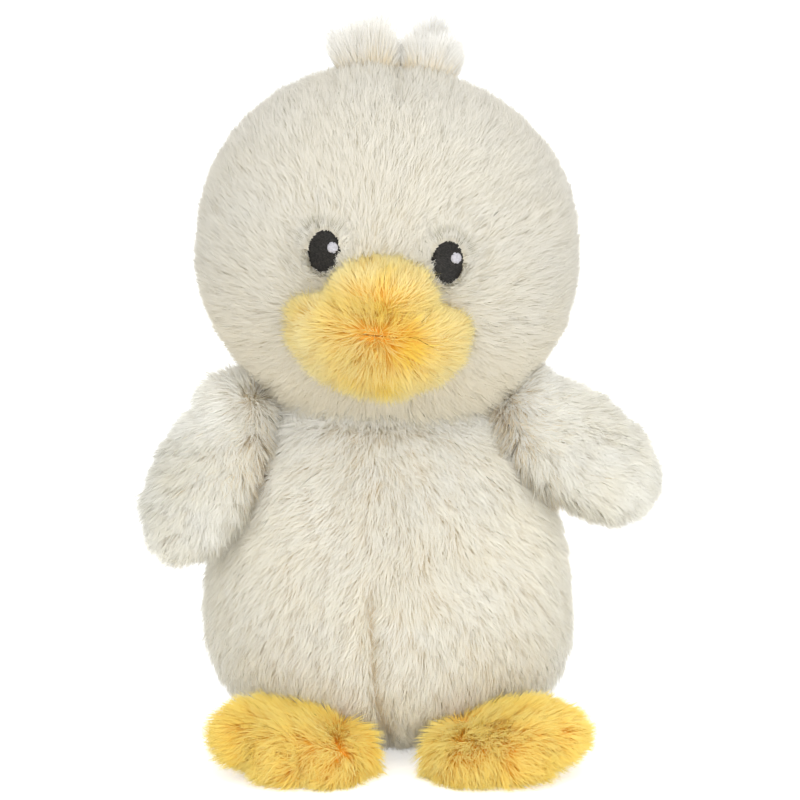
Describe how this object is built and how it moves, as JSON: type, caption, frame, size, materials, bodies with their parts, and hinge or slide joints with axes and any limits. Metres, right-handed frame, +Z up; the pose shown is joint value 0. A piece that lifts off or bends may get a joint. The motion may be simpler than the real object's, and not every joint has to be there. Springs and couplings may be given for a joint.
{
  "type": "plush dog toy",
  "caption": "Soft stuffed chick in long cream pile with a big round head, a wide yellow bill, mitten-shaped wings, flat yellow feet with toes and a squeaker in its belly.",
  "frame": {"origin": "on the ground, under the middle of the bounding box", "axes": "+Z up, the face looks along -Y, and the toy's own left is at +X"},
  "size_m": [0.1706, 0.13, 0.2395],
  "materials": {
    "cream_pile": "long combed pile",
    "yellow_pile": "short combed pile",
    "orange_yellow_pile": "short combed pile",
    "fibre": "loose polyester fibre",
    "black_thread": "satin stitch",
    "white_thread": "satin stitch",
    "cream_thread": "ladder stitch",
    "calico": "plain woven cotton",
    "soft_plastic": "milky blow-moulded",
    "hard_plastic": "white moulded"
  },
  "bodies": {
    "main": {"body_cover": "cream_pile", "body_filling": "fibre", "closing_thread": "cream_thread", "squeaker_pouch": "calico", "squeaker_bulb": "soft_plastic"},
    "whistle": {"whistle_tube": "hard_plastic", "whistle_reed": "hard_plastic"},
    "head": {"head_cover": "cream_pile", "head_filling": "fibre", "left_tuft": "cream_pile", "right_tuft": "cream_pile", "left_eye": "black_thread", "left_eye_glint": "white_thread", "right_eye": "black_thread", "right_eye_glint": "white_thread", "upper_bill_cover": "yellow_pile", "upper_bill_filling": "fibre", "lower_bill_cover": "yellow_pile", "lower_bill_filling": "fibre"},
    "left_wing": {"left_wing_cover": "cream_pile", "left_wing_filling": "fibre"},
    "right_wing": {"right_wing_cover": "cream_pile", "right_wing_filling": "fibre"},
    "left_foot": {"left_foot_cover": "orange_yellow_pile", "left_foot_filling": "fibre"},
    "right_foot": {"right_foot_cover": "orange_yellow_pile", "right_foot_filling": "fibre"}
  },
  "joints": [
    {"name": "head_nod", "type": "hinge", "parent": "main", "child": "head", "pos_m": [-0.00446, 0.00998, 0.163], "axis": [0.9962, 0, -0.0872], "range_deg": [-15, 15], "stiffness_Nm_per_rad": 0.2},
    {"name": "left_wing_swing", "type": "hinge", "parent": "main", "child": "left_wing", "pos_m": [0.04004, 0.00298, 0.112], "axis": [0, 1, 0], "range_deg": [-15, 20], "stiffness_Nm_per_rad": 0.05},
    {"name": "right_wing_swing", "type": "hinge", "parent": "main", "child": "right_wing", "pos_m": [-0.05346, 0.00198, 0.112], "axis": [0, 1, 0], "range_deg": [0, 35], "stiffness_Nm_per_rad": 0.05},
    {"name": "left_foot_bend", "type": "hinge", "parent": "main", "child": "left_foot", "pos_m": [0.02804, -0.01702, 0.01], "axis": [-0.9397, -0.342, 0], "range_deg": [-10, 12], "stiffness_Nm_per_rad": 0.05},
    {"name": "right_foot_bend", "type": "hinge", "parent": "main", "child": "right_foot", "pos_m": [-0.02846, -0.01802, 0.01], "axis": [-0.9511, 0.309, 0], "range_deg": [-10, 12], "stiffness_Nm_per_rad": 0.05},
    {"name": "squeeze", "type": "slide", "parent": "main", "child": "whistle", "axis": [0, 1, 0], "range_m": [0, 0.006], "stiffness_N_per_m": 400, "deforming": ["squeaker_bulb"]}
  ]
}
